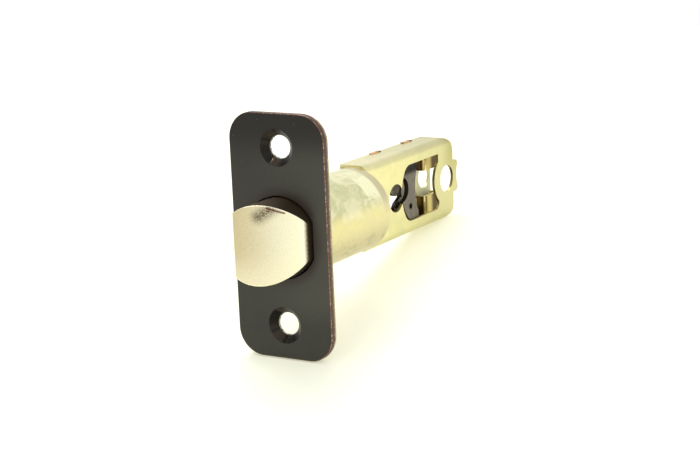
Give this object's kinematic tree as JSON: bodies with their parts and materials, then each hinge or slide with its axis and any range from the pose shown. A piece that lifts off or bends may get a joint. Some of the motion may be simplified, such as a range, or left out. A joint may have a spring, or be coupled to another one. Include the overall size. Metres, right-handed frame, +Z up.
{
  "type": "tubular spring latch",
  "caption": "Door latch with a bevelled spring bolt in a round barrel, a faceplate, and a sheet-metal case holding a turning cam that pulls the bolt in.",
  "frame": {"origin": "on the bolt's axis at the front face of the faceplate", "axes": "+Y along the barrel into the door, +Z up along the faceplate, +X towards the bolt's bevelled side; the bolt sticks out towards -Y"},
  "size_m": [0.0254, 0.0906, 0.0572],
  "materials": {
    "aged_bronze": "dark oiled bronze, satin, copper at the worn edge",
    "zinc_grey": "plated steel",
    "zinc_yellow": "yellow zinc plate with a rainbow tint",
    "satin_nickel": "satin nickel",
    "plain_steel": "plain steel",
    "black_steel": "black oxide"
  },
  "bodies": {
    "latch_case": {"faceplate": "aged_bronze", "backing_plate": "zinc_grey", "barrel": "zinc_yellow", "case_body": "zinc_yellow", "case_cover": "zinc_yellow", "spring_seat": "plain_steel", "bolt_spring": "plain_steel"},
    "bolt": {"latch_bolt": "satin_nickel", "bolt_pin": "plain_steel", "tail_yoke": "plain_steel", "upper_pull_pin": "plain_steel", "lower_pull_pin": "plain_steel"},
    "cam": {"near_cam": "black_steel", "cam_core": "black_steel", "far_cam": "black_steel", "upper_cam_rivet": "black_steel", "lower_cam_rivet": "black_steel"}
  },
  "joints": [
    {"name": "bolt_slide", "type": "slide", "parent": "latch_case", "child": "bolt", "axis": [0, 1, 0], "range_m": [0, 0.0102], "stiffness_N_per_m": 500, "springref_m": -0.008, "deforming": ["bolt_spring"]},
    {"name": "cam_turn", "type": "hinge", "parent": "latch_case", "child": "cam", "pos_m": [0, 0.0603, 0], "axis": [1, 0, 0], "range_deg": [0, 62.2]}
  ],
  "couplings": [
    {"joint": "cam_turn", "follows": "bolt_slide", "rad_per_m": 106.1}
  ]
}
